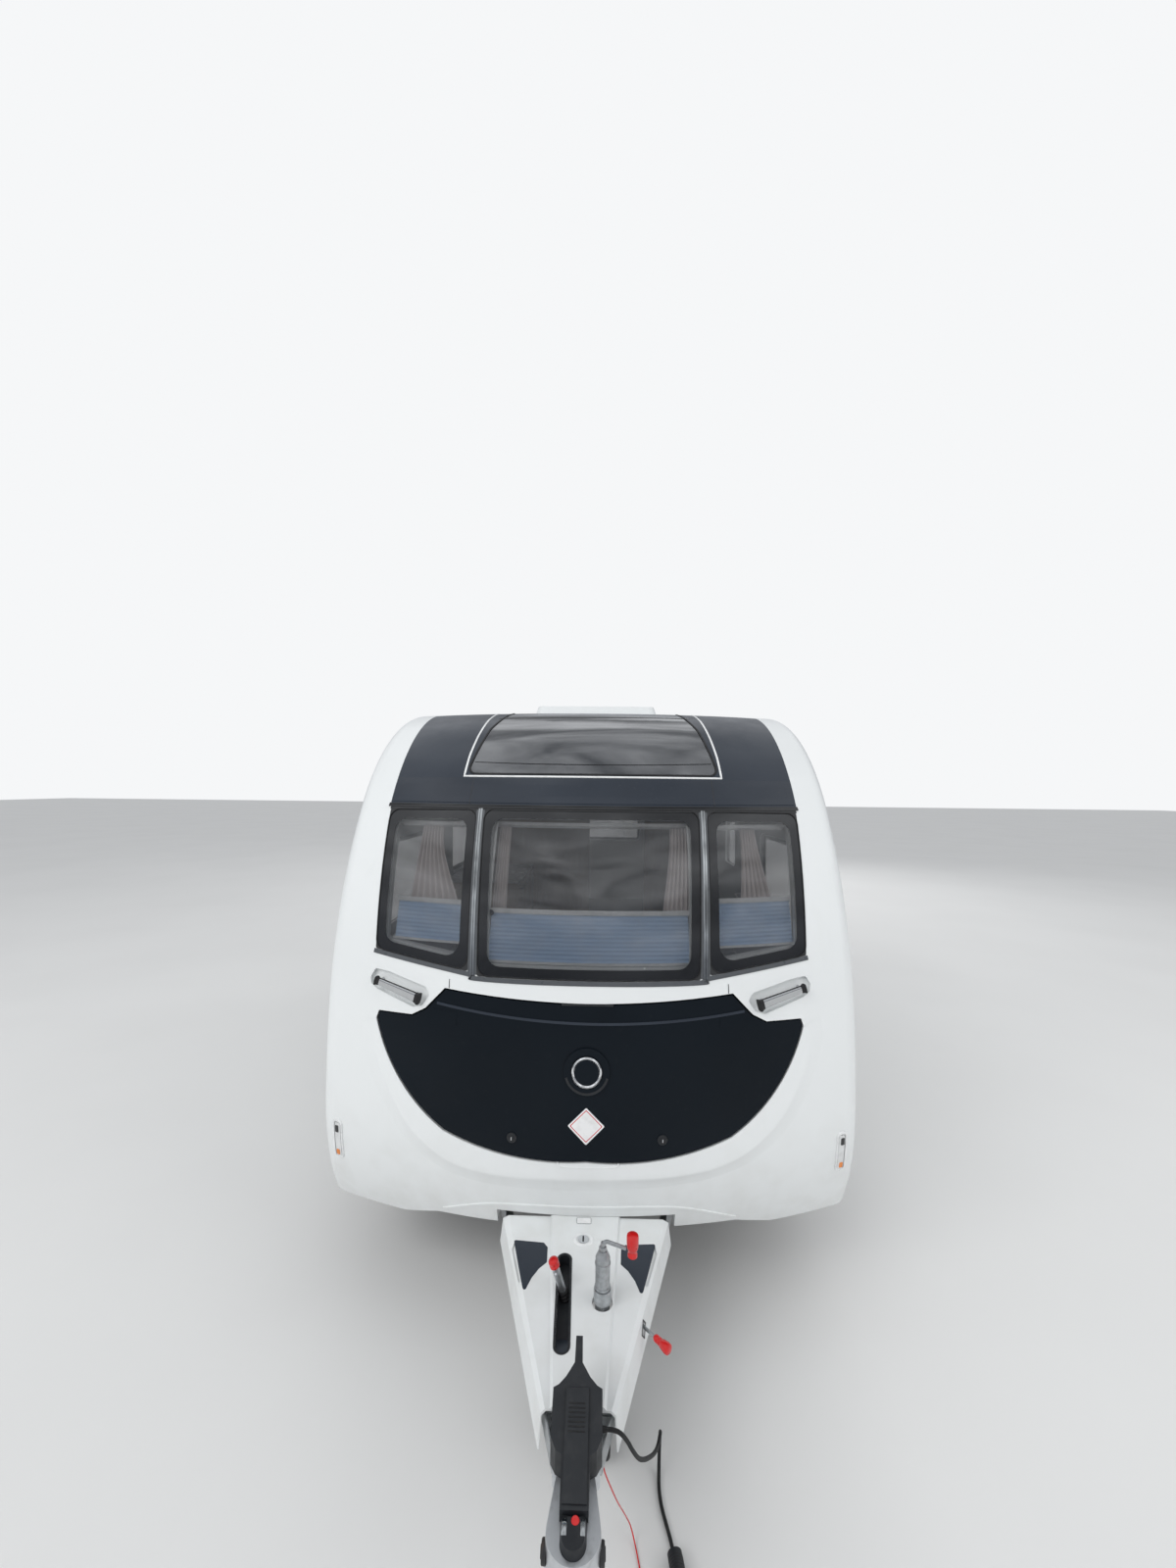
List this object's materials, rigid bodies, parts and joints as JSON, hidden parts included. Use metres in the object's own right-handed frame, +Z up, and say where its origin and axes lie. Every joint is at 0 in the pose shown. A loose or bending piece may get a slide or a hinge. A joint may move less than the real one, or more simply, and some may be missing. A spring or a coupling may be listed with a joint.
{
  "type": "travel caravan",
  "caption": "Single-axle travel caravan with a bowed front, dark gas locker lid, A-frame cover, jockey wheel, hinged doors and corner steadies.",
  "frame": {"origin": "on the ground under the middle of the whole vehicle", "axes": "+X to the right seen from in front, +Y from the coupling to the rear, +Z up"},
  "size_m": [2.278, 7.0023, 2.7053],
  "materials": {
    "gelcoat": "satin white outer skin",
    "dark_panel": "charcoal satin moulding",
    "black_plastic": "matte near-black",
    "lid_black": "matte near-black lid",
    "acrylic": "tinted acrylic",
    "galvanised": "galvanised steel",
    "cast": "black cast part",
    "alloy": "machined alloy",
    "chrome": "polished",
    "tyre": "road tyre",
    "rubber": "soft black",
    "red_plastic": "red moulded",
    "lamp_red": "red lens",
    "lamp_clear": "clear lens",
    "wood": "light wood board",
    "fabric": "woven upholstery",
    "floor_ply": "sealed floor board"
  },
  "bodies": {
    "caravan": {"axle": "galvanised", "breakaway_cable": "red_plastic", "breakaway_hook": "galvanised", "cable_gland": "rubber", "cable_plug": "black_plastic", "car_cable": "rubber", "chassis": "galvanised", "coupling_handle": "black_plastic", "coupling_head": "galvanised", "door_hinges": "black_plastic", "floor": "floor_ply", "frame_cover": "gelcoat", "front_handles": "chrome", "front_panel": "gelcoat", "front_windows": "acrylic", "furniture": "wood", "gas_locker_box": "black_plastic", "handbrake_lever": "galvanised", "jockey_clamp": "galvanised", "marker_lamps": "lamp_clear", "rear_bumper": "gelcoat", "rear_lamps": "lamp_red", "rear_panel": "gelcoat", "rear_window": "acrylic", "red_grips": "red_plastic", "roof": "gelcoat", "rooflight_frames": "gelcoat", "seat_cushions_left": "fabric", "seat_cushions_right": "fabric", "side_trims": "black_plastic", "side_wall_left": "gelcoat", "side_wall_right": "gelcoat", "side_windows": "acrylic", "skylight": "acrylic", "steady_brackets": "galvanised", "upper_front_panel": "dark_panel", "washroom_wall": "wood"},
    "road_wheel_left": {"tyre_left": "tyre", "rim_left": "alloy", "brake_drum_left": "cast"},
    "road_wheel_right": {"tyre_right": "tyre", "rim_right": "alloy", "brake_drum_right": "cast"},
    "jockey_stem": {"jockey_inner_tube": "galvanised"},
    "jockey_swivel_fork": {"jockey_fork": "galvanised"},
    "jockey_roller": {"jockey_wheel": "rubber"},
    "entrance_door_body": {"entrance_door": "gelcoat", "door_window": "acrylic"},
    "gas_lid_body": {"gas_locker_lid": "lid_black", "badge_disc": "chrome"},
    "storage_door_body": {"storage_door": "gelcoat"},
    "cassette_door_body": {"cassette_door": "gelcoat"},
    "battery_lid_body": {"battery_lid": "gelcoat"},
    "front_rooflight_body": {"front_rooflight_lid": "gelcoat"},
    "rear_rooflight_body": {"rear_rooflight_lid": "gelcoat"},
    "steady_front_left": {"steady_leg_front_left": "galvanised"},
    "steady_front_right": {"steady_leg_front_right": "galvanised"},
    "steady_rear_left": {"steady_leg_rear_left": "galvanised"},
    "steady_rear_right": {"steady_leg_rear_right": "galvanised"}
  },
  "joints": [
    {"name": "wheel_left_spin", "type": "hinge", "parent": "caravan", "child": "road_wheel_left", "pos_m": [-0.9875, 0.86, 0.307], "axis": [1, 0, 0], "continuous": true},
    {"name": "wheel_right_spin", "type": "hinge", "parent": "caravan", "child": "road_wheel_right", "pos_m": [0.9875, 0.86, 0.307], "axis": [1, 0, 0], "continuous": true},
    {"name": "jockey_lift", "type": "slide", "parent": "caravan", "child": "jockey_stem", "axis": [0, 0, 1], "range_m": [0, 0.13]},
    {"name": "jockey_swivel", "type": "hinge", "parent": "jockey_stem", "child": "jockey_swivel_fork", "pos_m": [0.066, -2.85, 0.232], "axis": [0, 0, 1], "continuous": true},
    {"name": "jockey_spin", "type": "hinge", "parent": "jockey_swivel_fork", "child": "jockey_roller", "pos_m": [0.066, -2.82, 0.108], "axis": [1, 0, 0], "continuous": true},
    {"name": "entrance_door_hinge", "type": "hinge", "parent": "caravan", "child": "entrance_door_body", "pos_m": [1.133, -0.232, 1.46], "axis": [0, 0, -1], "range_deg": [0, 165]},
    {"name": "gas_lid_hinge", "type": "hinge", "parent": "caravan", "child": "gas_lid_body", "pos_m": [0, -2.519, 1.3497], "axis": [-1, 0, 0], "range_deg": [0, 70]},
    {"name": "storage_door_hinge", "type": "hinge", "parent": "caravan", "child": "storage_door_body", "pos_m": [1.133, -1.4, 0.688], "axis": [0, 1, 0], "range_deg": [0, 150]},
    {"name": "cassette_door_hinge", "type": "hinge", "parent": "caravan", "child": "cassette_door_body", "pos_m": [-1.133, 2.75, 0.698], "axis": [0, -1, 0], "range_deg": [0, 150]},
    {"name": "battery_lid_hinge", "type": "hinge", "parent": "caravan", "child": "battery_lid_body", "pos_m": [-1.133, -0.835, 0.698], "axis": [0, -1, 0], "range_deg": [0, 150]},
    {"name": "front_rooflight_hinge", "type": "hinge", "parent": "caravan", "child": "front_rooflight_body", "pos_m": [0, -0.96606, 2.6533], "axis": [1, 0, 0], "range_deg": [0, 50]},
    {"name": "rear_rooflight_hinge", "type": "hinge", "parent": "caravan", "child": "rear_rooflight_body", "pos_m": [0, 1.965, 2.6533], "axis": [1, 0, 0], "range_deg": [0, 50]},
    {"name": "steady_front_left_hinge", "type": "hinge", "parent": "caravan", "child": "steady_front_left", "pos_m": [-0.7, -1.9, 0.48], "axis": [-1, 0, 0], "range_deg": [0, 65]},
    {"name": "steady_front_right_hinge", "type": "hinge", "parent": "caravan", "child": "steady_front_right", "pos_m": [0.7, -1.9, 0.48], "axis": [-1, 0, 0], "range_deg": [0, 65]},
    {"name": "steady_rear_left_hinge", "type": "hinge", "parent": "caravan", "child": "steady_rear_left", "pos_m": [-0.7, 3.05, 0.48], "axis": [1, 0, 0], "range_deg": [0, 65]},
    {"name": "steady_rear_right_hinge", "type": "hinge", "parent": "caravan", "child": "steady_rear_right", "pos_m": [0.7, 3.05, 0.48], "axis": [1, 0, 0], "range_deg": [0, 65]}
  ]
}
